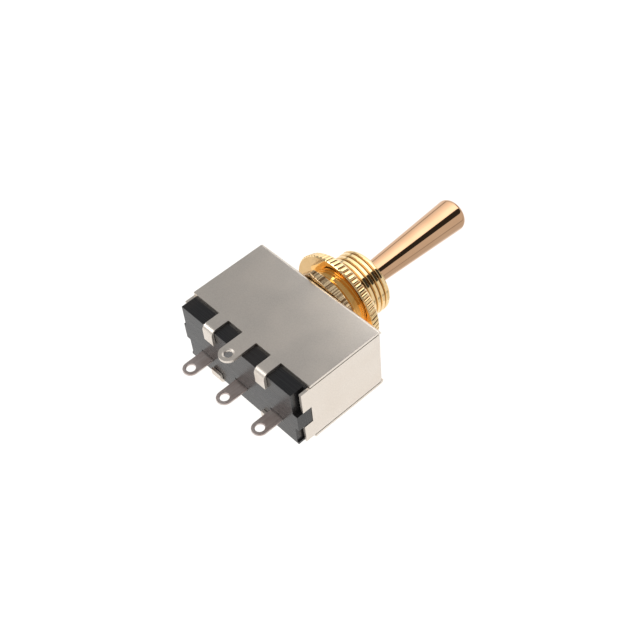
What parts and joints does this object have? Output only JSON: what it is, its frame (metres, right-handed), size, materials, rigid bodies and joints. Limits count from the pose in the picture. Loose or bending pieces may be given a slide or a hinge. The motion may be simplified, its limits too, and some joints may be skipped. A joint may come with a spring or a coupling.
{
  "type": "guitar pickup selector switch",
  "caption": "Closed box toggle switch for choosing between two guitar pickups, with a threaded bushing, nuts, a bat lever and solder lugs",
  "frame": {"origin": "on the bushing's axis, at the outer face of the knurled nut, where the free thread starts", "axes": "+Y out of the bushing along the lever at its middle position, +Z out of the wide plate with the ground lug, +X along the box's width"},
  "size_m": [0.028, 0.0561, 0.0184],
  "materials": {
    "nickel_sheet": "nickel plated sheet, satin",
    "gold_brass": "gold plated, polished",
    "gold_lever": "gold plated, mirror polished",
    "white_nylon": "moulded nylon",
    "steel_pin": "ground steel",
    "black_plastic": "moulded, satin",
    "contact_bronze": "plain strip",
    "spring_steel": "spring temper",
    "tinned_terminal": "tinned brass, dull"
  },
  "bodies": {
    "housing": {"shield_box": "nickel_sheet", "bushing": "gold_brass", "hex_nut": "gold_brass", "knurled_nut": "gold_brass", "pivot_pin": "steel_pin", "base_block": "black_plastic", "guide_cover": "black_plastic", "detent_spring": "spring_steel", "terminal_left": "tinned_terminal", "terminal_common": "tinned_terminal", "terminal_right": "tinned_terminal"},
    "lever": {"lever": "gold_lever", "lever_shoe": "white_nylon"},
    "slider": {"slider": "white_nylon", "bridge_contact": "contact_bronze", "bridge_spring_left": "spring_steel", "bridge_spring_right": "spring_steel"}
  },
  "joints": [
    {"name": "lever_tilt", "type": "hinge", "parent": "housing", "child": "lever", "pos_m": [0, -0.00092, 0], "axis": [0, 0, 1], "range_deg": [-13, 13]},
    {"name": "slider_travel", "type": "slide", "parent": "housing", "child": "slider", "axis": [1, 0, 0], "range_m": [-0.00226, 0.00226], "deforming": ["detent_spring"]}
  ],
  "couplings": [
    {"joint": "slider_travel", "follows": "lever_tilt", "m_per_rad": 0.0099145}
  ]
}
